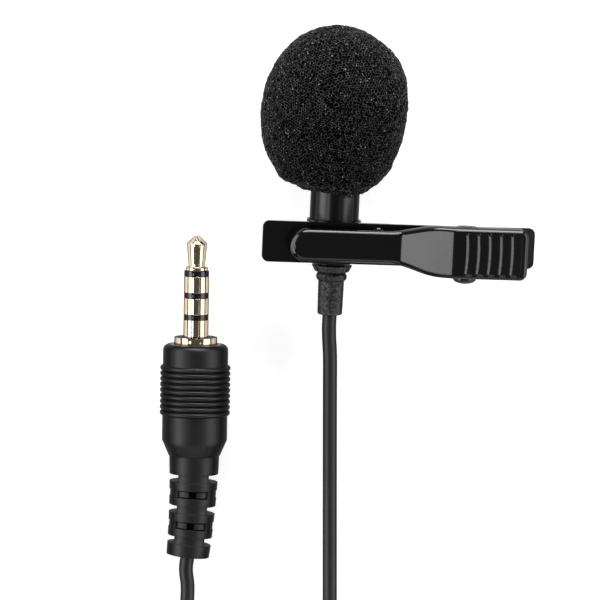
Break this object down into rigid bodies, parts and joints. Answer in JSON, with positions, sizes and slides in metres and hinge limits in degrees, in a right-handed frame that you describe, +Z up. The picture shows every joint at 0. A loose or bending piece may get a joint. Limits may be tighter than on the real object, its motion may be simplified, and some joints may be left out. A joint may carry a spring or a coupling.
{
  "type": "lavalier microphone",
  "caption": "Small lapel microphone with a foam windscreen, a swivelling sprung clip, a thin cord and a four-pole 3.5 mm plug.",
  "frame": {"origin": "on the surface that the part lies on, under the middle of the windscreen, housing and clip together", "axes": "+Y towards the windscreen, +X towards the clip's thumb pad, +Z up from the surface that the part lies on"},
  "size_m": [0.0567, 0.1288, 0.0204],
  "materials": {
    "foam": "open-cell polyurethane foam, matt black",
    "felt": "thin black felt",
    "satin_tube": "satin black over brass tube",
    "clip_steel": "gloss black over steel sheet",
    "spring_steel": "bright spring wire",
    "relief_rubber": "matt black moulded rubber",
    "cord_jacket": "smooth black cord jacket",
    "plated_contact": "pale gold over nickel, polished",
    "contact_insulator": "glossy black moulded plastic",
    "inner_mould": "hard black moulding",
    "can_metal": "drawn aluminium",
    "grille_metal": "perforated stainless steel",
    "film": "metallised film on a brass ring",
    "white_plastic": "white moulded plastic",
    "electrode": "plated brass plate",
    "chip": "black chip package",
    "board": "green circuit board with tinned pads",
    "conductor": "red insulated conductor"
  },
  "bodies": {
    "microphone": {"capsule_housing": "satin_tube", "front_grille": "grille_metal", "dust_felt": "felt", "capsule_can": "can_metal", "diaphragm": "film", "spacer_ring": "white_plastic", "backplate": "electrode", "insulating_cup": "white_plastic", "transistor": "chip", "circuit_board": "board", "capsule_gasket": "relief_rubber", "rear_cap": "satin_tube", "mic_conductors": "conductor", "mic_cable_end": "cord_jacket", "mic_strain_relief": "relief_rubber", "cord_mic_lead": "cord_jacket", "cord_coil": "cord_jacket", "cord_plug_lead": "cord_jacket", "plug_tip": "plated_contact", "insulator_tip": "contact_insulator", "plug_ring_1": "plated_contact", "insulator_middle": "contact_insulator", "plug_ring_2": "plated_contact", "insulator_sleeve": "contact_insulator", "plug_sleeve": "plated_contact", "plug_inner_mould": "inner_mould", "plug_conductors": "conductor", "plug_cable_end": "cord_jacket", "plug_grip": "relief_rubber"},
    "windscreen_body": {"windscreen": "foam"},
    "clip_body": {"holder_ring": "clip_steel", "holder_rivets": "clip_steel", "back_jaw": "clip_steel", "hinge_pin": "clip_steel", "torsion_spring": "spring_steel"},
    "jaw_body": {"front_jaw": "clip_steel"}
  },
  "joints": [
    {"name": "clip_swivel", "type": "hinge", "parent": "microphone", "child": "clip_body", "pos_m": [-0.00908, -0.00964, 0.00781], "axis": [0.045, 0.9904, 0.1305], "range_deg": [-120, 120]},
    {"name": "jaw_open", "type": "hinge", "parent": "clip_body", "child": "jaw_body", "pos_m": [0.00913, -0.01122, 0.0135], "axis": [0.045, 0.9904, 0.1305], "range_deg": [0, 20], "stiffness_Nm_per_rad": 0.08, "springref_deg": -34.38, "deforming": ["torsion_spring"]},
    {"name": "windscreen_slide", "type": "slide", "parent": "microphone", "child": "windscreen_body", "axis": [0.045, 0.9904, 0.1305], "range_m": [0, 0.02]}
  ]
}
